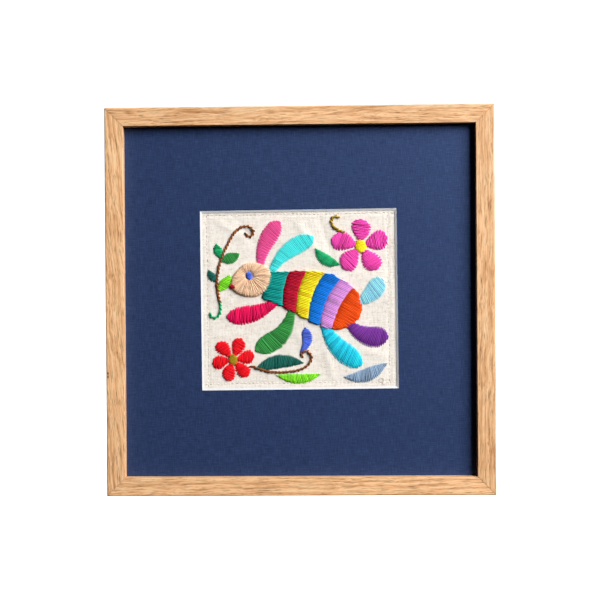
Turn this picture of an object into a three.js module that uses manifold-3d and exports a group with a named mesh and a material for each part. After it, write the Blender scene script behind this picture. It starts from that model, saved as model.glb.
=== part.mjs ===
import * as THREE from 'three';
import { mergeVertices } from 'three/addons/utils/BufferGeometryUtils.js';
import Module from 'manifold-3d';

// A small embroidered cloth in a square mitred frame. All sizes are in millimetres.
// The frame stands upright on its bottom rail and faces -Y. The middle of its
// underside is the origin.

// Frame
const OUTER = 268;           // outside width and height
const DEPTH = 32;            // front face to back
const RAIL_FACE = 12.8;      // width of a rail, seen from the front
const LIP_DEPTH = 6;         // thickness of the lip, and so the recess in front of the mat
const LIP_REACH = 4.6;       // how far the lip covers the edge of the mat
const OUTER_EASE = 1.1;      // rounding of the outer front edge
const SIGHT_EASE = 0.35;     // rounding of the sight edge
const BACK_EASE = 0.6;       // rounding of the outer back edge
const EASE_STEPS = 4;        // facets in a rounded edge

// Window mat
const MAT_SIDE = 251;        // square, a common 25 cm picture size
const MAT_THICK = 1.1;
const WINDOW_W = 136.2;      // at the front face of the mat
const WINDOW_H = 124.5;
const WINDOW_BEVEL = 1.3;    // how much narrower the window is on each side at the back
const WINDOW_X = -0.5;       // window centre from the middle of the mat
const WINDOW_Z = 0.9;
const WINDOW_TURN = 0.35;    // degrees, anticlockwise from the front

// Cloth
const CLOTH_W = 138.5;       // finished size, with the hem folded
const CLOTH_H = 130;
const CLOTH_THICK = 1.0;
const CLOTH_X = -0.8;        // cloth centre from the middle of the window
const CLOTH_Z = 0.8;
const HEM_WIDTH = 6.5;       // the fold on the back of the cloth
const HEM_FOLD = 0.8;        // extra thickness of the fold

// Backing board
const BACK_THICK = 3;

// Clearance between neighbouring pieces
const GAP = 0.3;

const FRONT = -DEPTH / 2;
const MID_Z = OUTER / 2;
const MAT_FRONT = FRONT + LIP_DEPTH + GAP;
const CLOTH_FRONT = MAT_FRONT + MAT_THICK + GAP;
const BACK_FRONT = CLOTH_FRONT + CLOTH_THICK + HEM_FOLD + GAP;

const COLOURS = {
  wood: 0xe4b583,
  board: 0x2d3d5e,
  cotton: 0xf3ebdf,
  fibreboard: 0xb08d63,
};

const wasm = await Module();
wasm.setup();

function toSolid(geometry) {
  const bare = geometry.clone();
  bare.deleteAttribute('normal');
  bare.deleteAttribute('uv');
  const merged = mergeVertices(bare.index ? bare : mergeVertices(bare), 1e-4);
  return new wasm.Manifold(new wasm.Mesh({
    numProp: 3,
    vertProperties: Float32Array.from(merged.attributes.position.array),
    triVerts: Uint32Array.from(merged.index.array),
  }));
}

function toGeometry(solid) {
  const mesh = solid.getMesh();
  const geometry = new THREE.BufferGeometry();
  geometry.setAttribute('position', new THREE.BufferAttribute(Float32Array.from(mesh.vertProperties), 3));
  geometry.setIndex(new THREE.BufferAttribute(Uint32Array.from(mesh.triVerts), 1));
  geometry.computeVertexNormals();
  return geometry;
}

function node(name, geometry, colour, roughness) {
  const mesh = new THREE.Mesh(geometry, new THREE.MeshStandardMaterial({ color: colour, roughness }));
  mesh.name = name;
  return mesh;
}

// Section of a rail: u runs inwards from the outer side, v backwards from the face.
function railSection() {
  const section = new THREE.Shape();
  const body = RAIL_FACE - LIP_REACH;
  section.moveTo(0, OUTER_EASE);
  section.absarc(OUTER_EASE, OUTER_EASE, OUTER_EASE, Math.PI, 1.5 * Math.PI, false);
  section.lineTo(RAIL_FACE - SIGHT_EASE, 0);
  section.absarc(RAIL_FACE - SIGHT_EASE, SIGHT_EASE, SIGHT_EASE, 1.5 * Math.PI, 2 * Math.PI, false);
  section.lineTo(RAIL_FACE, LIP_DEPTH);
  section.lineTo(body, LIP_DEPTH);
  section.lineTo(body, DEPTH);
  section.lineTo(BACK_EASE, DEPTH);
  section.absarc(BACK_EASE, DEPTH - BACK_EASE, BACK_EASE, 0.5 * Math.PI, Math.PI, false);
  section.closePath();
  return section;
}

// A rail along the bottom, with both ends cut back by u so that they are mitred,
// then turned about the middle of the frame to its own side.
function rail(quarterTurns) {
  const geometry = new THREE.ExtrudeGeometry(railSection(), {
    depth: OUTER, steps: 1, bevelEnabled: false, curveSegments: EASE_STEPS,
  });
  const cutBack = GAP / Math.SQRT2;
  const position = geometry.attributes.position;
  for (let i = 0; i < position.count; i += 1) {
    const u = position.getX(i);
    const v = position.getY(i);
    const end = position.getZ(i) > OUTER / 2 ? 1 : -1;
    const along = end * (OUTER / 2 - u - cutBack);
    position.setXYZ(i, -along, FRONT + v, u);
  }
  geometry.translate(0, 0, -MID_Z);
  geometry.rotateY(-quarterTurns * Math.PI / 2);
  geometry.translate(0, 0, MID_Z);
  geometry.computeVertexNormals();
  return geometry;
}

// A block between two y planes whose front and back ends differ in size.
function taperedBlock(front, back, yFront, yBack) {
  const geometry = new THREE.BoxGeometry(1, 1, 1);
  const position = geometry.attributes.position;
  for (let i = 0; i < position.count; i += 1) {
    const atFront = position.getY(i) < 0;
    const size = atFront ? front : back;
    position.setXYZ(i, position.getX(i) * size.w, atFront ? yFront : yBack, position.getZ(i) * size.h);
  }
  return geometry;
}

function block(w, h, yFront, yBack) {
  return taperedBlock({ w, h }, { w, h }, yFront, yBack);
}

function mat() {
  const board = block(MAT_SIDE, MAT_SIDE, MAT_FRONT, MAT_FRONT + MAT_THICK);
  board.translate(0, 0, MID_Z);
  // the cutting block passes both faces of the board along the slope of the bevel
  const past = 1;
  const slope = WINDOW_BEVEL / MAT_THICK;
  const wider = 2 * past * slope;
  const narrower = 2 * (MAT_THICK + past) * slope;
  const cutter = taperedBlock(
    { w: WINDOW_W + wider, h: WINDOW_H + wider },
    { w: WINDOW_W - narrower, h: WINDOW_H - narrower },
    MAT_FRONT - past,
    MAT_FRONT + MAT_THICK + past,
  );
  cutter.rotateY(-THREE.MathUtils.degToRad(WINDOW_TURN));
  cutter.translate(WINDOW_X, 0, MID_Z + WINDOW_Z);
  return toGeometry(toSolid(board).subtract(toSolid(cutter)));
}

// One cloth: a flat sheet with its hem folded over on the back.
function cloth() {
  const back = CLOTH_FRONT + CLOTH_THICK + HEM_FOLD;
  const folded = toSolid(block(CLOTH_W, CLOTH_H, CLOTH_FRONT, back));
  const single = toSolid(block(
    CLOTH_W - 2 * HEM_WIDTH, CLOTH_H - 2 * HEM_WIDTH, CLOTH_FRONT + CLOTH_THICK, back + 1,
  ));
  const geometry = toGeometry(folded.subtract(single));
  geometry.rotateY(-THREE.MathUtils.degToRad(WINDOW_TURN));
  geometry.translate(WINDOW_X + CLOTH_X, 0, MID_Z + WINDOW_Z + CLOTH_Z);
  return geometry;
}

function backing() {
  const geometry = block(MAT_SIDE, MAT_SIDE, BACK_FRONT, BACK_FRONT + BACK_THICK);
  geometry.translate(0, 0, MID_Z);
  return geometry;
}

const part = new THREE.Group();
part.name = 'framed_embroidery';
['rail_bottom', 'rail_right', 'rail_top', 'rail_left'].forEach((name, turns) => {
  part.add(node(name, rail(turns), COLOURS.wood, 0.55));
});
part.add(node('mat', mat(), COLOURS.board, 0.9));
part.add(node('cloth', cloth(), COLOURS.cotton, 0.95));
part.add(node('backing', backing(), COLOURS.fibreboard, 0.85));

export default part;
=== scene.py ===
import math

import bpy
import numpy as np
from mathutils import Matrix, Vector


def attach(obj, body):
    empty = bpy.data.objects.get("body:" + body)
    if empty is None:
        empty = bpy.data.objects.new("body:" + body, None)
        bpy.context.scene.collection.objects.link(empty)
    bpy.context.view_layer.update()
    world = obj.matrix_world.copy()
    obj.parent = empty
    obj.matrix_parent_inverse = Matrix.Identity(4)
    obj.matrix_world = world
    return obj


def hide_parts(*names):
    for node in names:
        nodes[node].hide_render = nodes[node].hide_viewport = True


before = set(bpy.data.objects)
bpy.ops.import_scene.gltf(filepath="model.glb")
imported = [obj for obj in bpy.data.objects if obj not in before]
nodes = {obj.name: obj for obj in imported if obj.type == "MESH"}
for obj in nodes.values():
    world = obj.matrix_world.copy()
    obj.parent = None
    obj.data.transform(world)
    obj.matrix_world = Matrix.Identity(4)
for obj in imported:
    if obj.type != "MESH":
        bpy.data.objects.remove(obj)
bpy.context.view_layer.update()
rng = np.random.default_rng(20813)
MM = 0.001

# ---------------------------------------------------------------- sizes, in millimetres
OUTER = 268.0            # frame, outside
DEPTH = 32.0
RAIL_FACE = 12.8
LIP_DEPTH = 6.0
LIP_REACH = 4.6
GAP = 0.3
MID_Z = OUTER / 2
WINDOW = (-0.5, MID_Z + 0.9)       # centre of the mat's window
WINDOW_TURN = math.radians(0.35)
WINDOW_BACK = (133.6, 121.9)       # the window at the back of its bevel
CLOTH_FRONT = -DEPTH / 2 + LIP_DEPTH + GAP + 1.1 + GAP
CLOTH_SIZE = (138.5, 130.0)
CLOTH_SHIFT = (-0.8, 0.8)          # cloth centre from the window centre
CLOTH_THICK = 0.9
HEM_WIDTH = 6.5
HEM_FOLD = 0.8
PITCH = 1.10                       # from one stitch to the next


def linear(rgb):
    """An sRGB colour, 0 to 255, as linear values."""
    c = np.array(rgb, float) / 255
    return tuple(np.where(c <= 0.04045, c / 12.92, ((c + 0.055) / 1.055) ** 2.4))


# ---------------------------------------------------------------- materials
def new_material(name):
    m = bpy.data.materials.new(name)
    m.use_nodes = True
    nt = m.node_tree
    bsdf = nt.nodes["Principled BSDF"]
    return m, nt, bsdf


def add(nt, kind, **values):
    n = nt.nodes.new(kind)
    for k, v in values.items():
        setattr(n, k, v)
    return n


def put(node, **sockets):
    for k, v in sockets.items():
        node.inputs[k.replace("_", " ")].default_value = v
    return node


def maths(nt, operation, a, b=None, c=None, clamp=False):
    n = add(nt, "ShaderNodeMath", operation=operation, use_clamp=clamp)
    for i, v in enumerate((a, b, c)):
        if v is None:
            continue
        if isinstance(v, (int, float)):
            n.inputs[i].default_value = v
        else:
            nt.links.new(v, n.inputs[i])
    return n.outputs[0]


def ramp(nt, fac, stops):
    n = add(nt, "ShaderNodeValToRGB")
    e = n.color_ramp.elements
    while len(e) < len(stops):
        e.new(0.5)
    for el, (at, colour) in zip(e, stops):
        el.position = at
        el.color = (*colour, 1) if len(colour) == 3 else colour
    nt.links.new(fac, n.inputs["Fac"])
    return n.outputs["Color"]


def mix(nt, fac, a, b, kind="MIX"):
    n = add(nt, "ShaderNodeMix", data_type="RGBA", blend_type=kind)
    for socket, v in ((n.inputs["Factor"], fac), (n.inputs[6], a), (n.inputs[7], b)):
        if isinstance(v, (int, float)):
            socket.default_value = v
        elif isinstance(v, tuple):
            socket.default_value = (*v, 1)
        else:
            nt.links.new(v, socket)
    return n.outputs[2]


def noise(nt, vector, scale, detail=3.0, rough=0.55, distortion=0.0):
    n = put(add(nt, "ShaderNodeTexNoise"), Scale=scale, Detail=detail, Roughness=rough, Distortion=distortion)
    nt.links.new(vector, n.inputs["Vector"])
    return n


def mapped(nt, vector, scale, move=(0, 0, 0), turn=(0, 0, 0)):
    n = add(nt, "ShaderNodeMapping")
    n.inputs["Scale"].default_value = scale
    n.inputs["Location"].default_value = move
    n.inputs["Rotation"].default_value = turn
    nt.links.new(vector, n.inputs["Vector"])
    return n.outputs["Vector"]


def bump(nt, bsdf, height, strength, distance):
    n = put(add(nt, "ShaderNodeBump"), Strength=strength, Distance=distance)
    nt.links.new(height, n.inputs["Height"])
    nt.links.new(n.outputs["Normal"], bsdf.inputs["Normal"])


def oak(name, along, seed, lean=0.0, painted_light_gain=1.0, knots=()):
    """Light oak with its grain along one axis of the object, turned off it by a small lean."""
    m, nt, bsdf = new_material(name)
    place = add(nt, "ShaderNodeTexCoord").outputs["Object"]
    leaning = mapped(nt, place, (1, 1, 1), turn=(0, math.radians(lean), 0))
    move = (3.1 * seed, 1.7 * seed, 2.3 * seed)

    def stretched(run, across):
        return mapped(nt, warped, tuple(run if i == along else across for i in range(3)), move)

    # the grain wanders slowly, so everything is read at a bent place
    drift = noise(nt, mapped(nt, leaning, tuple(20 if i == along else 50 for i in range(3)), move), 1.0, 2, 0.5)
    centred = add(nt, "ShaderNodeVectorMath", operation="SUBTRACT")
    nt.links.new(drift.outputs["Color"], centred.inputs[0])
    centred.inputs[1].default_value = (0.5, 0.5, 0.5)
    scaled = add(nt, "ShaderNodeVectorMath", operation="MULTIPLY")
    nt.links.new(centred.outputs[0], scaled.inputs[0])
    scaled.inputs[1].default_value = tuple(0.004 if i == along else 0.0058 for i in range(3))
    summed = add(nt, "ShaderNodeVectorMath", operation="ADD")
    nt.links.new(leaning, summed.inputs[0])
    nt.links.new(scaled.outputs[0], summed.inputs[1])
    warped = summed.outputs[0]

    tone = noise(nt, stretched(11, 90), 1.0, 2, 0.5).outputs["Fac"]
    figure = noise(nt, stretched(26, 760), 1.0, 5, 0.64).outputs["Fac"]
    dashes = noise(nt, stretched(100, 1900), 1.0, 2, 0.58).outputs["Fac"]
    pores = noise(nt, stretched(260, 3400), 1.0, 1, 0.5).outputs["Fac"]
    light = ramp(nt, figure, [(0.30, linear((190, 134, 87))), (0.43, linear((228, 174, 125))),
                              (0.54, linear((247, 200, 152))), (0.70, linear((255, 218, 175)))])
    # random tone, times painted_light_gain: painted light that makes a rail lighter or darker to undo how the light
    # falls on it
    tone_and_painted_light = mix(nt, tone, (0.82 * painted_light_gain, 0.79 * painted_light_gain, 0.75 * painted_light_gain), (1.10 * painted_light_gain, 1.10 * painted_light_gain, 1.10 * painted_light_gain))
    base = mix(nt, 1.0, light, tone_and_painted_light, "MULTIPLY")
    streak = ramp(nt, dashes, [(0.31, (0.44, 0.37, 0.30)), (0.46, (1, 1, 1)), (0.72, (1.08, 1.07, 1.05))])
    base = mix(nt, 0.9, base, streak, "MULTIPLY")
    dark = ramp(nt, pores, [(0.60, (1, 1, 1)), (0.72, (0.70, 0.62, 0.54))])
    base = mix(nt, 0.7, base, dark, "MULTIPLY")
    for x, z, rx, rz in knots:
        around = add(nt, "ShaderNodeVectorMath", operation="LENGTH")
        nt.links.new(mapped(nt, place, (1 / rx, 0, 1 / rz), (-x / rx, 0, -z / rz)), around.inputs[0])
        base = mix(nt, 1.0, base, ramp(nt, around.outputs["Value"], [(0.35, (0.20, 0.13, 0.09)), (1.0, (1, 1, 1))]), "MULTIPLY")
    nt.links.new(base, bsdf.inputs["Base Color"])
    nt.links.new(maths(nt, "MULTIPLY_ADD", figure, -0.18, 0.62), bsdf.inputs["Roughness"])
    put(bsdf, Specular_IOR_Level=0.3)
    height = maths(nt, "ADD", maths(nt, "MULTIPLY", dashes, 0.6), maths(nt, "MULTIPLY", pores, -0.5))
    bump(nt, bsdf, height, 0.35, 0.00018)
    return m


def linen_board():
    """Navy linen-grain board, with its white core where it is cut."""
    m, nt, bsdf = new_material("mat_board")
    place = add(nt, "ShaderNodeTexCoord").outputs["Object"]
    across = noise(nt, mapped(nt, place, (150, 300, 2000)), 1.0, 2, 0.6).outputs["Fac"]
    upright = noise(nt, mapped(nt, place, (2000, 300, 150), (4, 0, 7)), 1.0, 2, 0.6).outputs["Fac"]
    threads = maths(nt, "ADD", across, upright)
    speckle = noise(nt, place, 1100, 2, 0.6).outputs["Fac"]
    cloud = noise(nt, place, 26, 2, 0.5).outputs["Fac"]
    navy = ramp(nt, maths(nt, "MULTIPLY", threads, 0.5),
                [(0.32, linear((28, 41, 74))), (0.5, linear((41, 57, 95))), (0.68, linear((56, 74, 117)))])
    navy = mix(nt, 0.35, navy, ramp(nt, speckle, [(0.3, (0.70, 0.70, 0.73)), (0.7, (1.24, 1.24, 1.23))]), "MULTIPLY")
    navy = mix(nt, 0.5, navy, ramp(nt, cloud, [(0.3, (0.94, 0.94, 0.95)), (0.7, (1.05, 1.05, 1.05))]), "MULTIPLY")
    core_tone = noise(nt, place, 420, 3, 0.6).outputs["Fac"]
    core = ramp(nt, core_tone, [(0.3, linear((246, 249, 253))), (0.7, linear((253, 254, 255)))])
    normal = add(nt, "ShaderNodeNewGeometry").outputs["True Normal"]
    split = add(nt, "ShaderNodeSeparateXYZ")
    nt.links.new(normal, split.inputs[0])
    face = maths(nt, "LESS_THAN", split.outputs["Y"], -0.9)
    nt.links.new(mix(nt, face, core, navy), bsdf.inputs["Base Color"])
    put(bsdf, Roughness=0.46, Specular_IOR_Level=0.85)
    bsdf.inputs["Specular Tint"].default_value = (0.34, 0.50, 1.0, 1.0)
    weave = put(add(nt, "ShaderNodeBump"), Strength=0.4, Distance=0.00016)
    nt.links.new(threads, weave.inputs["Height"])
    # the soft paper of the cut scatters light as if it were turned more to the front
    forward = add(nt, "ShaderNodeCombineXYZ")
    nt.links.new(maths(nt, "MULTIPLY", maths(nt, "LESS_THAN", split.outputs["Y"], -0.3), -4.0), forward.inputs["Y"])
    turned = add(nt, "ShaderNodeVectorMath", operation="ADD")
    nt.links.new(normal, turned.inputs[0])
    nt.links.new(forward.outputs[0], turned.inputs[1])
    unit = add(nt, "ShaderNodeVectorMath", operation="NORMALIZE")
    nt.links.new(turned.outputs[0], unit.inputs[0])
    either = add(nt, "ShaderNodeMix", data_type="VECTOR")
    nt.links.new(face, either.inputs[0])
    nt.links.new(unit.outputs[0], either.inputs[4])
    nt.links.new(weave.outputs["Normal"], either.inputs[5])
    nt.links.new(either.outputs[1], bsdf.inputs["Normal"])
    return m


def cotton():
    """Cream plain weave: two sets of uneven threads, a little slubbed."""
    m, nt, bsdf = new_material("cotton")
    place = add(nt, "ShaderNodeTexCoord").outputs["Object"]
    weft = noise(nt, mapped(nt, place, (210, 40, 1350)), 1.0, 2, 0.55).outputs["Fac"]
    warp = noise(nt, mapped(nt, place, (1350, 40, 210), (9, 0, 3)), 1.0, 2, 0.55).outputs["Fac"]
    slub = noise(nt, mapped(nt, place, (40, 40, 700), (2, 0, 8)), 1.0, 2, 0.5).outputs["Fac"]
    mm = mapped(nt, place, (1000, 1000, 1000))
    split = add(nt, "ShaderNodeSeparateXYZ")
    nt.links.new(mm, split.inputs[0])
    turn = 2 * math.pi / 1.16
    sx = maths(nt, "SINE", maths(nt, "MULTIPLY", split.outputs["X"], turn))
    sz = maths(nt, "SINE", maths(nt, "MULTIPLY", split.outputs["Z"], turn))
    check = maths(nt, "MULTIPLY", sx, sz)
    threads = maths(nt, "ADD", weft, warp)
    body = ramp(nt, maths(nt, "MULTIPLY", threads, 0.5),
                [(0.32, linear((229, 219, 206))), (0.45, linear((249, 241, 231))), (0.62, linear((255, 250, 243)))])
    speck = noise(nt, mapped(nt, place, (760, 200, 940), (1, 0, 5)), 1.0, 3, 0.62).outputs["Fac"]
    body = mix(nt, 0.8, body, ramp(nt, speck, [(0.30, (0.84, 0.82, 0.80)), (0.47, (1, 1, 1)), (0.70, (1.03, 1.03, 1.03))]), "MULTIPLY")
    body = mix(nt, 0.35, body, ramp(nt, slub, [(0.30, (0.93, 0.92, 0.90)), (0.5, (1, 1, 1))]), "MULTIPLY")
    body = mix(nt, 0.35, body, ramp(nt, maths(nt, "MULTIPLY_ADD", check, 0.5, 0.5),
                                    [(0.0, (0.88, 0.86, 0.83)), (0.6, (1, 1, 1))]), "MULTIPLY")
    nt.links.new(body, bsdf.inputs["Base Color"])
    put(bsdf, Roughness=0.92, Specular_IOR_Level=0.15, Sheen_Weight=0.18, Sheen_Roughness=0.5)
    height = maths(nt, "ADD", maths(nt, "MULTIPLY", threads, 0.6), maths(nt, "MULTIPLY", check, 0.22))
    bump(nt, bsdf, height, 0.6, 0.00028)
    return m


def floss(name, rgb):
    """Stranded embroidery cotton: fine twisted strands along each stitch, no two stitches quite alike."""
    m, nt, bsdf = new_material("floss_" + name)
    uv = add(nt, "ShaderNodeUVMap", uv_map="thread").outputs["UV"]
    shade = add(nt, "ShaderNodeAttribute", attribute_name="shade").outputs["Fac"]
    strands = noise(nt, mapped(nt, uv, (0.8, 9, 1), turn=(0, 0, 0.12)), 1.0, 2, 0.6).outputs["Fac"]
    grain = noise(nt, mapped(nt, uv, (1.5, 2.6, 1), (5, 3, 0)), 1.0, 2, 0.6).outputs["Fac"]
    c = np.array(linear(rgb))
    dark = tuple(np.clip(c * 0.76, 0, 1))
    pale = tuple(np.clip(c * 1.6 + 0.004, 0, 1))
    level = maths(nt, "ADD", maths(nt, "MULTIPLY", strands, 0.40), maths(nt, "MULTIPLY", shade, 0.40))
    level = maths(nt, "MULTIPLY_ADD", grain, 0.62, level)
    colour = ramp(nt, level, [(0.46, dark), (0.69, tuple(np.clip(c * 1.34, 0, 1))), (1.0, pale)])
    nt.links.new(colour, bsdf.inputs["Base Color"])
    put(bsdf, Roughness=0.6, Specular_IOR_Level=0.16, Sheen_Weight=0.05, Sheen_Roughness=0.4)
    bump(nt, bsdf, maths(nt, "MULTIPLY_ADD", grain, 1.4, strands), 0.75, 0.0002)
    return m


def fibreboard():
    m, nt, bsdf = new_material("fibreboard")
    place = add(nt, "ShaderNodeTexCoord").outputs["Object"]
    fibres = noise(nt, mapped(nt, place, (420, 300, 900)), 1.0, 4, 0.65).outputs["Fac"]
    cloud = noise(nt, place, 22, 3, 0.6).outputs["Fac"]
    base = ramp(nt, fibres, [(0.3, linear((138, 104, 70))), (0.5, linear((170, 133, 94))), (0.7, linear((193, 158, 117)))])
    base = mix(nt, 0.6, base, ramp(nt, cloud, [(0.3, (0.86, 0.85, 0.83)), (0.7, (1.05, 1.05, 1.05))]), "MULTIPLY")
    nt.links.new(base, bsdf.inputs["Base Color"])
    put(bsdf, Roughness=0.88, Specular_IOR_Level=0.2)
    bump(nt, bsdf, fibres, 0.35, 0.0002)
    return m


def dark_joint():
    m, nt, bsdf = new_material("mitre_line")
    place = add(nt, "ShaderNodeTexCoord").outputs["Object"]
    grain = noise(nt, place, 700, 3, 0.6).outputs["Fac"]
    nt.links.new(ramp(nt, grain, [(0.3, linear((190, 140, 97))), (0.7, linear((226, 178, 132)))]), bsdf.inputs["Base Color"])
    put(bsdf, Roughness=0.8)
    return m


def wear(obj, material):
    if obj.material_slots:
        for s in obj.material_slots:
            s.material = material
    else:
        obj.data.materials.append(material)


# the gains (1.12 bottom, 0.98 right, 0.99 top, 1.10 left) are painted light: they lighten the bottom and left rails
# and darken the right and top a little, to undo the fall of the light from the upper right
for seed, (name, along) in enumerate([("rail_bottom", 0), ("rail_right", 2), ("rail_top", 0), ("rail_left", 2)]):
    if name == "rail_left":   # slanting grain and a small knot at its outer edge
        wear(nodes[name], oak("oak_left", along, seed + 1, 5.0, 1.10, [(-0.1326, 0.0849, 0.0009, 0.0011), (-0.1326, 0.0825, 0.0008, 0.0010)]))
    else:
        wear(nodes[name], oak("oak_" + name[5:], along, seed + 1, (0.6, -1.0, 0.4)[seed], (1.12, 0.98, 0.99)[seed]))
wear(nodes["mat"], linen_board())
wear(nodes["backing"], fibreboard())


# ---------------------------------------------------------------- meshes from arrays
def mesh_object(name, verts, faces, material, uv=None, shade=None, smooth=True):
    """verts is (n, 3) in metres, faces a list of corner-index arrays."""
    me = bpy.data.meshes.new(name)
    me.from_pydata([tuple(v) for v in verts], [], [tuple(int(i) for i in f) for f in faces])
    if uv is not None:
        layer = me.uv_layers.new(name="thread")
        corner = np.empty(len(me.loops), np.int32)
        me.loops.foreach_get("vertex_index", corner)
        layer.data.foreach_set("uv", np.asarray(uv, np.float32)[corner].ravel())
    if shade is not None:
        a = me.attributes.new("shade", "FLOAT", "POINT")
        a.data.foreach_set("value", np.asarray(shade, np.float32))
    me.polygons.foreach_set("use_smooth", [smooth] * len(me.polygons))
    me.materials.append(material)
    me.update()
    o = bpy.data.objects.new(name, me)
    bpy.context.scene.collection.objects.link(o)
    return o


def on_cloth(uvh):
    """(u, v, h) from the window's centre, right, up and out of the cloth, in mm, to the frame in metres."""
    p = np.asarray(uvh, float)
    c, s = math.cos(WINDOW_TURN), math.sin(WINDOW_TURN)
    x = WINDOW[0] + p[..., 0] * c - p[..., 1] * s
    z = WINDOW[1] + p[..., 0] * s + p[..., 1] * c
    y = CLOTH_FRONT - p[..., 2]
    return np.stack([x, y, z], -1) * MM


# ---------------------------------------------------------------- the cloth's own shape
# Creases that the stitching draws into the cloth: from, to, width, height in mm
CREASES = [
    # u0,   v0,   u1,   v1, width, height
    (-60.0, 57.0, -36.0, 40.0, 2.6, 0.34),
    (-44.0, 58.0, -30.0, 36.0, 2.2, -0.26),
    (-4.0, 57.0, 14.0, 30.0, 2.8, 0.36),
    (14.0, 57.0, 24.0, 22.0, 2.4, -0.30),
    (62.0, 20.0, 40.0, 12.0, 2.6, 0.34),
    (61.0, -2.0, 44.0, -14.0, 2.4, -0.30),
    (61.0, -40.0, 40.0, -34.0, 2.8, 0.34),
    (24.0, -57.0, 18.0, -32.0, 2.6, 0.36),
    (12.0, -40.0, -4.0, -20.0, 2.6, 0.32),
    (-10.0, -40.0, -26.0, -22.0, 2.4, -0.28),
    (-40.0, -22.0, -60.0, -26.0, 2.6, 0.34),
    (-62.0, 2.0, -46.0, -2.0, 2.2, 0.28),
    (-62.0, 34.0, -48.0, 22.0, 2.4, -0.26),
    (8.0, 24.0, 26.0, 22.0, 2.2, 0.26),
]
HEM_AT = {  # the hem's sewn line on each side, from the window's centre
    "left": CLOTH_SHIFT[0] - CLOTH_SIZE[0] / 2 + HEM_WIDTH,
    "right": CLOTH_SHIFT[0] + CLOTH_SIZE[0] / 2 - HEM_WIDTH,
    "bottom": CLOTH_SHIFT[1] - CLOTH_SIZE[1] / 2 + HEM_WIDTH,
    "top": CLOTH_SHIFT[1] + CLOTH_SIZE[1] / 2 - HEM_WIDTH,
}
WAVES = [(rng.uniform(0.05, 0.16), rng.uniform(0, math.tau), rng.uniform(0, math.tau), rng.uniform(0.03, 0.07)) for _ in range(9)]


def cloth_height(u, v):
    """How far the cloth's face stands out of its flat solid, in mm."""
    u, v = np.asarray(u, float), np.asarray(v, float)
    h = np.zeros(np.broadcast(u, v).shape)
    for k, a, ph, size in WAVES:
        h = h + size * np.sin(k * (u * math.cos(a) + v * math.sin(a)) + ph)
    for u0, v0, u1, v1, wide, high in CREASES:
        d = np.array([u1 - u0, v1 - v0])
        run = np.linalg.norm(d)
        d = d / run
        t = ((u - u0) * d[0] + (v - v0) * d[1]) / run
        off = -(u - u0) * d[1] + (v - v0) * d[0]
        off = off - 0.9 * np.sin(2.2 * np.clip(t, 0, 1))
        ends = np.clip(1 - (2 * np.clip(t, -0.2, 1.2) - 1) ** 4, 0, 1)
        h = h + high * ends * np.exp(-((off / wide) ** 2))
    for side, at in HEM_AT.items():
        x = (u if side in ("left", "right") else v) - at
        x = x if side in ("right", "top") else -x      # towards the cloth's edge
        # the sewn line sinks in, and the folded edge stands up a little beyond it
        h = h - 0.20 * np.exp(-((x / 0.9) ** 2)) + 0.07 * np.exp(-(((x - 1.9) / 1.2) ** 2))
        h = h + 0.05 * np.exp(-(((x + 1.7) / 1.1) ** 2))
    # flat under the mat
    inside_u = (WINDOW_BACK[0] / 2 - np.abs(u)) / 2.0
    inside_v = (WINDOW_BACK[1] / 2 - np.abs(v)) / 2.0
    free = np.clip(np.minimum(inside_u, inside_v), 0, 1)
    free = free * free * (3 - 2 * free)
    return np.where(h > 0, h * free, h * (0.25 + 0.75 * free))


def make_cloth():
    nu, nv = 141, 133
    cu, cv = CLOTH_SHIFT
    us = np.linspace(cu - CLOTH_SIZE[0] / 2, cu + CLOTH_SIZE[0] / 2, nu)
    vs = np.linspace(cv - CLOTH_SIZE[1] / 2, cv + CLOTH_SIZE[1] / 2, nv)
    U, V = np.meshgrid(us, vs, indexing="ij")
    front = cloth_height(U, V)
    edge = np.minimum(np.minimum(U - us[0], us[-1] - U), np.minimum(V - vs[0], vs[-1] - V))
    fold = np.clip((HEM_WIDTH - edge) / 0.9, 0, 1)
    back = np.minimum(front, 0) - CLOTH_THICK - (HEM_FOLD - 0.1) * fold
    back = np.maximum(back, -CLOTH_THICK - HEM_FOLD)
    # the fold is round at the cloth's edge
    rounding = np.clip(edge / 0.9, 0, 1)
    mid = -(CLOTH_THICK + HEM_FOLD) / 2
    ease = np.sqrt(np.clip(1 - (1 - rounding) ** 2, 0, 1)) * 0.8 + 0.2
    front = mid + (front - mid) * ease
    back = mid + (back - mid) * ease
    verts = np.concatenate([np.stack([U, V, front], -1).reshape(-1, 3), np.stack([U, V, back], -1).reshape(-1, 3)])
    idx = np.arange(nu * nv).reshape(nu, nv)
    quads = np.stack([idx[:-1, :-1], idx[1:, :-1], idx[1:, 1:], idx[:-1, 1:]], -1).reshape(-1, 4)
    n = nu * nv
    faces = [*quads, *(quads[:, ::-1] + n)]
    ring = np.concatenate([idx[:, 0], idx[-1, 1:], idx[-2::-1, -1], idx[0, -2:0:-1]])
    nxt = np.roll(ring, -1)
    faces += [*np.stack([nxt, ring, ring + n, nxt + n], -1)]
    return mesh_object("embroidered_cloth", on_cloth(verts), faces, cotton())


cloth = make_cloth()
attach(cloth, "root")
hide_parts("cloth")


# ---------------------------------------------------------------- curves for the stitching
def resample(q, n):
    q = np.asarray(q, float)
    s = np.concatenate([[0], np.cumsum(np.linalg.norm(np.diff(q, axis=0), axis=1))])
    u = np.linspace(0, s[-1], n)
    return np.stack([np.interp(u, s, q[:, i]) for i in range(q.shape[1])], 1)


def run_of(q):
    return float(np.linalg.norm(np.diff(q, axis=0), axis=1).sum())


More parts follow.
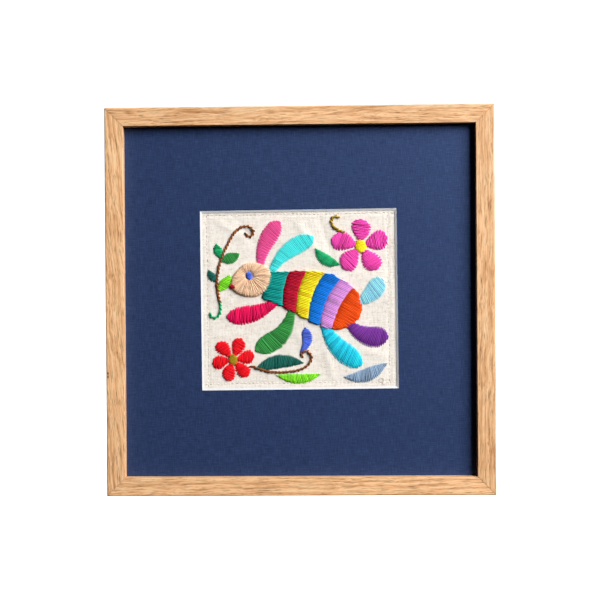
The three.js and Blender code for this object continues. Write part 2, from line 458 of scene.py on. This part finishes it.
def smooth(points, n=161):
    """A smooth line through a few points."""
    p = np.array(points, float)
    t = np.concatenate([[0], np.cumsum(np.sqrt(np.linalg.norm(np.diff(p, axis=0), axis=1)))])
    step = np.diff(t)[:, None]
    slope = np.diff(p, axis=0) / step
    d = np.empty_like(p)
    d[1:-1] = (slope[:-1] * step[1:] + slope[1:] * step[:-1]) / (step[1:] + step[:-1])
    d[0] = 1.5 * slope[0] - 0.5 * d[1] if len(p) > 2 else slope[0]
    d[-1] = 1.5 * slope[-1] - 0.5 * d[-2] if len(p) > 2 else slope[0]
    tt = np.linspace(0, t[-1], 4 * n)
    k = np.clip(np.searchsorted(t, tt, side="right") - 1, 0, len(p) - 2)
    h = step[k]
    x = (tt - t[k])[:, None] / h
    q = ((2 * x**3 - 3 * x**2 + 1) * p[k] + (x**3 - 2 * x**2 + x) * h * d[k]
         + (3 * x**2 - 2 * x**3) * p[k + 1] + (x**3 - x**2) * h * d[k + 1])
    return resample(q, n)


def sides_of(q):
    t = np.gradient(q, axis=0)
    t = t / np.linalg.norm(t, axis=1)[:, None]
    return np.stack([-t[:, 1], t[:, 0]], 1), t


def tendril(start, heading, run, turn0, turn1, n=140):
    """A curl whose turn, in degrees a millimetre, grows along its run."""
    s = np.linspace(0, run, n)
    k = np.radians(turn0 + (turn1 - turn0) * (s / run) ** 1.7)
    a = math.radians(heading) + np.concatenate([[0], np.cumsum((k[1:] + k[:-1]) / 2 * np.diff(s))])
    p = np.stack([np.cos(a), np.sin(a)], 1)
    q = np.concatenate([[[0, 0]], np.cumsum((p[1:] + p[:-1]) / 2 * np.diff(s)[:, None], axis=0)])
    return q + np.array(start, float)


# half width along a motif, as a share of its widest: (place, share)
PROFILES = {
    "leaf": [(0, 0.08), (0.08, 0.34), (0.25, 0.79), (0.48, 1), (0.72, 0.83), (0.9, 0.42), (1, 0.07)],
    "club": [(0, 0.36), (0.15, 0.50), (0.4, 0.80), (0.66, 1), (0.84, 0.92), (0.95, 0.60), (1, 0.20)],
    "petal": [(0, 0.26), (0.12, 0.46), (0.35, 0.82), (0.6, 1), (0.8, 0.93), (0.93, 0.62), (1, 0.20)],
}


class Skein:
    """All the stitches of one colour, gathered as arrays and made into one mesh."""

    POINTS = np.array([0, 0.035, 0.10, 0.22, 0.36, 0.5, 0.64, 0.78, 0.90, 0.965, 1.0])
    SIDES = 8

    def __init__(self):
        self.verts, self.faces, self.uv, self.shade = [], [], [], []
        self.count = self.made = 0

    def _keep(self, verts, faces, uv, shade):
        self.verts.append(np.asarray(verts, float).reshape(-1, 3))
        self.faces.extend([np.asarray(f) + self.count for f in faces])
        self.uv.append(np.asarray(uv, float).reshape(-1, 2))
        self.shade.append(np.asarray(shade, float).ravel())
        self.count += len(self.verts[-1])

    def tube(self, line, lift, half_w, half_h, taper, shade, run0=0.0):
        """A closed thread along a line (k, 2) at heights lift (k,) over the cloth."""
        line = np.asarray(line, float)
        k = len(line)
        nrm, _ = sides_of(line)
        h = cloth_height(line[:, 0], line[:, 1]) + lift
        a = np.linspace(0, math.tau, self.SIDES, endpoint=False)
        side = np.cos(a)[None, :] * (half_w * taper)[:, None]
        up = np.sin(a)[None, :] * (half_h * taper)[:, None]
        uv2 = line[:, None, :] - nrm[:, None, :] * side[..., None]
        v = np.concatenate([uv2, (h[:, None] + up)[..., None]], -1)
        i = np.arange(k * self.SIDES).reshape(k, self.SIDES)
        j = np.roll(i, -1, axis=1)
        quads = np.stack([i[:-1], i[1:], j[1:], j[:-1]], -1).reshape(-1, 4)
        s = np.concatenate([[0], np.cumsum(np.linalg.norm(np.diff(line, axis=0), axis=1))]) + run0
        uv = np.stack(np.broadcast_arrays(s[:, None], 3.7 * self.made + (a / math.tau)[None, :]), -1)
        self._keep(v, [*quads, i[0], i[-1][::-1]], uv, np.full(k * self.SIDES, shade))
        self.made += 1

    def stitch(self, a, b, base=0.0, half_w=0.50, half_h=0.46, crown=0.26, loose=1.0, sink=(-0.22, -0.22)):
        """One stitch from a to b: it comes up through the cloth, lies over it and goes down again."""
        a, b = np.asarray(a, float), np.asarray(b, float)
        d = b - a
        run = np.linalg.norm(d)
        if run < 0.5:
            return
        d = d / run
        m = np.array([-d[1], d[0]])
        ends = rng.normal(0, 0.13 * loose, 2)
        a, b = a - d * ends[0], b + d * ends[1]
        bow = rng.normal(0, 0.05 * loose)
        s = self.POINTS
        line = a + (b - a) * s[:, None] + m * (bow * np.sin(math.pi * s))[:, None]
        flat = 1 - np.abs(2 * s - 1) ** 7
        top = base + half_h * 0.92 + rng.normal(0, 0.06 * loose)
        low = sink[0] + (sink[1] - sink[0]) * s
        lift = low + (top - low) * flat + crown * min(run / 9, 1.5) * np.sin(math.pi * s)
        taper = (0.58 + 0.42 * (1 - np.abs(2 * s - 1) ** 5)) * (1 + rng.normal(0, 0.05, len(s)))
        self.tube(line, lift, half_w * (1 + rng.normal(0, 0.07)), half_h, taper, rng.uniform(0, 1))

    def pad(self, left, right, low=-0.12, high=0.22, inset=0.10, dome=0.0):
        """The cloth is padded under a motif, so none of it shows between the stitches. left and right are matching points of its two edges."""
        left, right = np.asarray(left, float), np.asarray(right, float)
        l = left + (right - left) * inset
        r = right + (left - right) * inset
        k = len(l)
        rows = []
        for lift in (high, low):
            for p, more in ((l, 0.0), ((l + r) / 2, dome if lift == high else 0.0), (r, 0.0)):
                rows.append(np.concatenate([p, (cloth_height(p[:, 0], p[:, 1]) + lift + more)[:, None]], 1))
        v = np.concatenate(rows)
        i = np.arange(6 * k).reshape(6, k)
        faces = []

        def strip(p, q):
            faces.extend(np.stack([i[p][:-1], i[q][:-1], i[q][1:], i[p][1:]], -1))

        strip(0, 1), strip(1, 2), strip(2, 5), strip(5, 4), strip(4, 3), strip(3, 0)
        faces.append(np.array([i[0][0], i[3][0], i[4][0], i[5][0], i[2][0], i[1][0]]))
        faces.append(np.array([i[1][-1], i[2][-1], i[5][-1], i[4][-1], i[3][-1], i[0][-1]]))
        # left edge first or last decides which way the strip faces
        a = l[1] - l[0]
        b = r[0] - l[0]
        if a[0] * b[1] - a[1] * b[0] > 0:
            faces = [f[::-1] for f in faces]
        # its shade value of 0.35 colours the pad a little darker than the stitches' mid tone: painted shade in the
        # gaps between them
        self._keep(v, faces, np.zeros((6 * k, 2)), np.full(6 * k, 0.35))


SKEINS = {}


def skein(colour):
    return SKEINS.setdefault(colour, Skein())


def fill(colour, stitches, base=0.0, crossed=False, pad=True, inset=0.10, **kw):
    """Sews a row of stitches, (from, to) pairs. Crossed ones lean by turns to either side and lie over each other."""
    sk = skein(colour)
    if pad and len(stitches) > 3:
        wide = float(np.median([np.linalg.norm(np.subtract(a, b)) for a, b in stitches]))
        sk.pad([s[0] for s in stitches], [s[1] for s in stitches], high=0.12 + base, inset=inset, dome=0.2 * min(wide / 9, 1.5))
    n = len(stitches)
    for i, (a, b) in enumerate(stitches):
        if crossed:
            way = np.subtract(stitches[min(i + 1, n - 1)][0], stitches[max(i - 1, 0)][0])
            way = way / max(np.linalg.norm(way), 1e-6) * (0.18 if i % 2 else -0.18)
            sk.stitch(a + way, b - way, base + 0.08 * (i % 2), **kw)
        else:
            sk.stitch(a, b, base, **kw)


def blade(points, wide, kind, slant=10, pitch=PITCH):
    """Stitches across a spine, from edge to edge."""
    q = smooth(points)
    nrm, tan = sides_of(q)
    n = max(4, int(round(run_of(q) / pitch)))
    place, share = np.array(PROFILES[kind]).T
    out = []
    for t in (np.arange(n + 1) + rng.normal(0, 0.07, n + 1)).clip(0, n) / n:
        c, m, g = (np.array([np.interp(t, np.linspace(0, 1, len(q)), x[:, i]) for i in range(2)]) for x in (q, nrm, tan))
        w = wide * float(np.interp(t, place, share))
        lean = math.tan(math.radians(slant)) * w
        out.append((c + m * w + g * lean, c - m * w - g * lean))
    return out


def disc(centre, r, angle=20, pitch=1.0):
    c = np.array(centre, float)
    d = np.array([math.cos(math.radians(angle)), math.sin(math.radians(angle))])
    m = np.array([-d[1], d[0]])
    n = max(3, int(2 * r / pitch))
    ys = -r + 2 * r * (np.arange(n + 1) + 0.5) / (n + 1)
    return [(c + m * y - d * math.sqrt(max(r * r - y * y, 0.1)), c + m * y + d * math.sqrt(max(r * r - y * y, 0.1))) for y in ys]


def stem(colour, path, step=2.5, wide=0.60, lean=0.74):
    """Stem stitch: short stitches along a line, each one beside the end of the last."""
    r = resample(path, max(4, int(run_of(np.asarray(path)) / step)) + 1)
    nrm, tan = sides_of(r)
    sk = skein(colour)
    for i in range(len(r) - 1):
        sk.stitch(r[i] - nrm[i] * lean - tan[i] * 0.5, r[i + 1] + nrm[i + 1] * lean + tan[i + 1] * 0.5,
                  half_w=wide, half_h=0.52, crown=0.9, loose=1.5)


# ---------------------------------------------------------------- the embroidery: a leaping hare among flowers
FLOSS = {
    "slate": (137, 161, 186), "magenta": (212, 8, 82), "cyan": (36, 200, 240), "green": (52, 142, 66),
    "orange": (255, 76, 4), "hot_pink": (232, 70, 165), "rose": (250, 82, 148), "turquoise": (72, 226, 226),
    "purple": (119, 53, 150), "royal": (10, 118, 212), "yellow": (255, 206, 28), "crimson": (170, 10, 42),
    "lilac": (206, 144, 212), "teal": (6, 148, 140), "peach": (230, 186, 154), "periwinkle": (76, 104, 206),
    "lime": (128, 218, 44), "forest": (24, 94, 84), "red": (246, 14, 30), "brown": (128, 72, 34),
    "olive": (150, 124, 22), "sky": (140, 206, 248), "emerald": (28, 154, 98),
}
BLADES = [
    # colour, spine, half width, profile, slant, crossed
    ("rose", [(-27, 22), (-24, 37), (-13, 54)], 6.3, "club", 8, True),
    ("turquoise", [(-20, 19), (-8, 33), (10, 43)], 6.4, "club", -8, False),
    ("sky", [(40, -3), (49, 3), (58, 13)], 6.8, "club", 10, False),
    ("purple", [(33, -16), (45, -25), (61, -27)], 7.6, "club", 10, False),
    ("cyan", [(16, -15), (25, -32), (43, -45)], 7.6, "club", -10, False),
    ("magenta", [(-15, -1), (-31, -9), (-50, -11)], 6.7, "club", 10, True),
    ("green", [(-5, -7), (-12, -23), (-30, -35)], 7.2, "club", -10, False),
    ("forest", [(-31, -48), (-16, -43), (2, -44)], 5.2, "leaf", 12, False),
    ("lime", [(-16, -52.5), (-2, -55), (14, -52)], 3.6, "leaf", -12, False),
    ("slate", [(31, -54), (46, -53), (60, -45)], 5.0, "leaf", 12, False),
    ("emerald", [(28, 24), (19, 27), (12, 35)], 4.4, "leaf", 12, False),
    ("periwinkle", [(1, -36), (5, -29), (4, -20)], 3.8, "petal", 10, False),
]
SPRIG = [(-55, -1), (-57, 13), (-54, 28), (-47, 43)]
SPRIG_LEAVES = [
    # colour, place on the sprig, side, run, half width, angle from the sprig
    ("lime", 0.16, -1, 14.0, 4.0, 46),
    ("forest", 0.30, 1, 10.0, 3.2, 34),
    ("green", 0.62, -1, 14.0, 4.2, 50),
    ("emerald", 0.66, 1, 11.0, 3.4, 36),
]
TENDRILS = [
    # colour, from, heading, run, turn at first, turn at last
    ("brown", (-47, 43), 62, 32, -2.0, -26),
    ("brown", (-4, -49.5), 8, 30, 2.0, 24),
    ("emerald", (-55, -1), -82, 19, -1.0, -30),
    ("olive", (32, 46), 165, 21, -2.0, -26),
]
BODY = {
    "spine": [(41, -13), (27, -5), (8, 3), (-18, 9)],
    # place on the spine, half width above it and below it
    "table": [(0, 1, 1), (0.02, 6, 6), (0.06, 10, 10), (0.14, 14.5, 14.5), (0.28, 18, 17.5), (0.45, 18.5, 17.5),
              (0.65, 16, 15.5), (0.85, 12.5, 12.5), (1.0, 10.5, 10), (1.25, 9, 8)],
}
BANDS = [
    # colour, from, to, crossed
    ("orange", 0, 0.24, True), ("lilac", 0.24, 0.40, False), ("royal", 0.40, 0.56, False),
    ("yellow", 0.56, 0.72, False), ("crimson", 0.72, 0.88, True), ("teal", 0.88, 1.10, False),
]
HEAD = {"centre": (-33, 14), "radii": (15, 12.2), "tilt": 18, "eye": (-34.5, 17), "eye_r": 2.6}
FLOWERS = [
    # colour, heart, centre, petals, heart radius, reach, half width, turn
    ("hot_pink", "yellow", (43, 36.5), 5, 4.4, 19.6, 7.1, 18),
    ("red", "olive", (-46.5, -41), 6, 3.6, 14.8, 5.0, 10),
]

stem("brown", smooth(SPRIG))
stem("brown", smooth([(-34, -45.5), (-20, -50), (-4, -49.5)]))
for colour, start, heading, run, turn0, turn1 in TENDRILS:
    stem(colour, tendril(start, heading, run, turn0, turn1))
sprig = resample(smooth(SPRIG), 101)
sprig_side, sprig_way = sides_of(sprig)
for colour, at, side, run, half, angle in SPRIG_LEAVES:
    i = int(at * 100)
    way = sprig_way[i] * math.cos(math.radians(angle)) + sprig_side[i] * side * math.sin(math.radians(angle))
    p = sprig[i]
    fill(colour, blade([p + way * 0.6, p + way * run * 0.5 + sprig_side[i] * side * 0.8, p + way * run], half, "leaf", 10 * side))
for colour, spine, half, kind, slant, crossed in BLADES:
    fill(colour, blade(spine, half, kind, slant, 0.98 if crossed else PITCH), crossed=crossed)
for colour, heart, centre, petals, r0, reach, half, turn in FLOWERS:
    c = np.array(centre, float)
    for k in range(petals):
        a = math.radians(turn + 360 * k / petals + rng.normal(0, 2))
        d = np.array([math.cos(a), math.sin(a)])
        far = reach * (1 + rng.normal(0, 0.03))
        fill(colour, blade([c + d * r0 * 0.9, c + d * (r0 + far) / 2, c + d * far], half, "petal", 6, 0.98), crossed=True)
    fill(heart, disc(c, r0, 20, 0.95), base=0.35)

spine = smooth(BODY["spine"], 241)
spine_side, spine_way = sides_of(spine)
spine = np.concatenate([spine, spine[-1] + spine_way[-1] * np.linspace(0, 0.25 * run_of(spine), 61)[1:, None]])
spine_side = np.concatenate([spine_side, np.repeat(spine_side[-1:], 60, 0)])
spine_at = np.concatenate([np.linspace(0, 1, 241), 1 + np.linspace(0, 0.25, 61)[1:]])
table_at, above, below = np.array(BODY["table"]).T
for colour, t0, t1, crossed in BANDS:
    rows = []
    for y in np.arange(-18.4, 18.5, 0.98 if crossed else PITCH):
        half = np.interp(spine_at, table_at, below if y > 0 else above)
        arc = -0.05 * (y / 18) ** 2
        ok = np.where((spine_at >= t0 + (arc if t0 else 0)) & (spine_at <= t1 + arc) & (half >= abs(y)))[0]
        if len(ok) > 3:
            a, b = (spine[i] + spine_side[i] * y for i in (ok[0], ok[-1]))
            d = (b - a) / np.linalg.norm(b - a)
            rows.append((a - d * (0.55 + rng.normal(0, 0.2)), b + d * (0.55 + rng.normal(0, 0.2))))
    fill(colour, rows, base=0.62, crossed=crossed, inset=0.0)

c, e = np.array(HEAD["centre"], float), np.array(HEAD["eye"], float)
ax = np.array([math.cos(math.radians(HEAD["tilt"])), math.sin(math.radians(HEAD["tilt"]))])
ay = np.array([-ax[1], ax[0]])
around = []
count = int(math.pi * sum(HEAD["radii"]) / 0.92)
for f in np.arange(count) * math.tau / count:
    x, y = math.cos(f), math.sin(f)
    y = y * (1 - 0.24 * max(0, -x) - 0.05 * x)
    around.append(c + ax * HEAD["radii"][0] * x + ay * HEAD["radii"][1] * y)
around = np.array(around)
skein("peach").pad(np.concatenate([around, around[:1]]), np.repeat(e[None], count + 1, 0), high=1.02, inset=0.06)
for i, o in enumerate(around):
    far = np.linalg.norm(o - e)
    d = (o - e) / far
    near = (HEAD["eye_r"] + 0.4, 0.62 * far, 0.34 * far, 0.62 * far)[i % 4]
    skein("peach").stitch(e + d * near, o, base=0.80, sink=(0.85, -0.22))
fill("periwinkle", disc(e, HEAD["eye_r"], 25, 0.95), base=1.05)
snout = c - ax * (HEAD["radii"][0] - 1.2)
fill("crimson", disc(snout, 1.9, 60, 0.95), base=0.95)

for colour, sk in SKEINS.items():
    o = mesh_object("floss_" + colour, on_cloth(np.concatenate(sk.verts)), sk.faces, floss(colour, FLOSS[colour]),
                    np.concatenate(sk.uv), np.concatenate(sk.shade))
    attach(o, "root")

# ---------------------------------------------------------------- the hem's stitches, and a loose end of its thread
hem = Skein()
for side, at in HEM_AT.items():
    upright = side in ("left", "right")
    reach = WINDOW_BACK[1] / 2 if upright else WINDOW_BACK[0] / 2
    x = -reach + 1.0
    while x < reach - 2.4:
        run = 1.7 + rng.normal(0, 0.18)
        off = at + 0.25 * math.sin(x * 0.11 + at) + rng.normal(0, 0.06)
        ends = [(off, x), (off + rng.normal(0, 0.08), x + run)] if upright else [(x, off), (x + run, off + rng.normal(0, 0.08))]
        hem.stitch(*ends, base=-0.05, half_w=0.26, half_h=0.20, crown=0.02, loose=0.3)
        x += run + 1.0 + rng.normal(0, 0.14)
loop = smooth([(54.5, -57.4), (55.2, -55.6), (57.4, -55.2), (58.2, -56.8), (56.8, -57.9), (57.6, -59.0), (59.6, -58.6)], 70)
hem.tube(loop, np.full(70, 0.22) + 0.25 * np.sin(np.linspace(0, math.pi, 70)), 0.17, 0.17,
         np.concatenate([[0.4], np.ones(68), [0.4]]), 0.6)
sewing = mesh_object("hem_stitches", on_cloth(np.concatenate(hem.verts)), hem.faces, floss("cream", (206, 198, 186)),
                     np.concatenate(hem.uv), np.concatenate(hem.shade))
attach(sewing, "root")


# ---------------------------------------------------------------- the glued line in each mitre
def mitre_lines():
    lip, body, t = RAIL_FACE, RAIL_FACE - LIP_REACH, GAP / 2 - 0.02
    inset = 0.25
    section = [(inset + 0.55, inset), (lip - inset - 0.2, inset), (lip - inset, inset + 0.3), (lip - inset, LIP_DEPTH - inset),
               (body - inset, LIP_DEPTH - inset), (body - inset, DEPTH - inset), (inset, DEPTH - inset), (inset, inset + 0.55)]
    verts, faces = [], []
    for sx in (-1, 1):
        for sz in (-1, 1):
            base = len(verts)
            for shift in (-t, t):
                for u, v in section:
                    # along the mitre by u, and to either side of it by shift
                    x = sx * (OUTER / 2 - u + shift / math.sqrt(2))
                    z = MID_Z + sz * (OUTER / 2 - u - shift / math.sqrt(2))
                    verts.append((x * MM, (v - DEPTH / 2) * MM, z * MM))
            k = len(section)
            near, far = list(range(base, base + k)), list(range(base + k, base + 2 * k))
            block = [near, far[::-1]] + [[near[(i + 1) % k], near[i], far[i], far[(i + 1) % k]] for i in range(k)]
            if sx * sz > 0:
                block = [f[::-1] for f in block]
            faces += block
    return mesh_object("mitre_lines", np.array(verts), faces, dark_joint(), smooth=False)


lines = mitre_lines()
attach(lines, "root")

# ---------------------------------------------------------------- floor, light and camera
floor_me = bpy.data.meshes.new("floor")
R = 9.0
floor_me.from_pydata([(-R, -R, 0), (R, -R, 0), (R, R, 0), (-R, R, 0)], [], [(0, 1, 2, 3)])
floor = bpy.data.objects.new("floor", floor_me)
bpy.context.scene.collection.objects.link(floor)
fm, fnt, fb = new_material("pale_floor")
ftone = noise(fnt, add(fnt, "ShaderNodeTexCoord").outputs["Object"], 3.0, 2, 0.5).outputs["Fac"]
fnt.links.new(ramp(fnt, ftone, [(0.3, (0.90, 0.90, 0.90)), (0.7, (0.93, 0.93, 0.93))]), fb.inputs["Base Color"])
put(fb, Roughness=0.9, Specular_IOR_Level=0.1, Emission_Strength=1.1)
fb.inputs["Emission Color"].default_value = (1, 1, 1, 1)
floor_me.materials.append(fm)
floor.visible_diffuse = False      # it shows, but throws no light up at the face
floor.visible_glossy = False

# a plain white backdrop all round, which likewise only shows
steps = 48
turn = [math.tau * k / steps for k in range(steps)]
ring = [(8.8 * math.cos(a), 8.8 * math.sin(a), z) for z in (0.0, 8.0) for a in turn]
sides = [(k, k + steps, (k + 1) % steps + steps, (k + 1) % steps) for k in range(steps)]
backdrop_me = bpy.data.meshes.new("backdrop")
backdrop_me.from_pydata(ring, [], sides + [tuple(range(steps, 2 * steps))])
backdrop = bpy.data.objects.new("backdrop", backdrop_me)
bpy.context.scene.collection.objects.link(backdrop)
backdrop_me.materials.append(fm)
for ray in ("diffuse", "glossy", "transmission", "volume_scatter", "shadow"):
    setattr(backdrop, "visible_" + ray, False)

FACE = Vector((0, -DEPTH / 2 * MM, MID_Z * MM))


def softbox(name, place, target, wide, high, watts, colour=(1, 1, 1)):
    d = bpy.data.lights.new(name, "AREA")
    d.shape = "RECTANGLE"
    d.size, d.size_y = wide, high
    d.energy = watts
    d.color = colour
    o = bpy.data.objects.new(name, d)
    o.location = place
    o.rotation_euler = (Vector(target) - Vector(place)).to_track_quat("-Z", "Y").to_euler()
    bpy.context.scene.collection.objects.link(o)
    return o


# one large soft window of light, high on the right; the studio is dark in front and pale behind
window_way = Vector((0.665, -0.593, 0.50)).normalized()
softbox("window", FACE + window_way * 2.6, FACE, 1.64, 1.90, 127, (1.0, 0.99, 0.975))

world = bpy.data.worlds.new("studio")
bpy.context.scene.world = world
world.use_nodes = True
wnt = world.node_tree
wdir = add(wnt, "ShaderNodeTexCoord").outputs["Generated"]
wsplit = add(wnt, "ShaderNodeSeparateXYZ")
wnt.links.new(wdir, wsplit.inputs[0])
wcol = ramp(wnt, maths(wnt, "MULTIPLY_ADD", wsplit.outputs["Y"], 0.5, 0.5),
            [(0.47, (0.008, 0.009, 0.011)), (0.58, (0.85, 0.85, 0.85))])
wnt.links.new(wcol, wnt.nodes["Background"].inputs["Color"])
wnt.nodes["Background"].inputs["Strength"].default_value = 1.0

bpy.context.scene.view_settings.view_transform = "Standard"
bpy.context.scene.view_settings.look = "None"

cam_data = bpy.data.cameras.new("camera")
cam_data.sensor_width = 36
AWAY = 0.70
cam_data.lens = 36 * (390.6 / 600) * AWAY / (OUTER * MM)
cam_data.clip_start = 0.01
cam = bpy.data.objects.new("camera", cam_data)
bpy.context.scene.collection.objects.link(cam)
cam.location = FACE + Vector((0.0153, -AWAY, 0.0026))
look = (FACE + Vector((0.0002, 0, 0.0006)) - cam.location).to_track_quat("-Z", "Y").to_matrix().to_4x4()
cam.matrix_world = Matrix.Translation(cam.location) @ look @ Matrix.Rotation(math.radians(-0.4125), 4, "Z")
bpy.context.scene.camera = cam
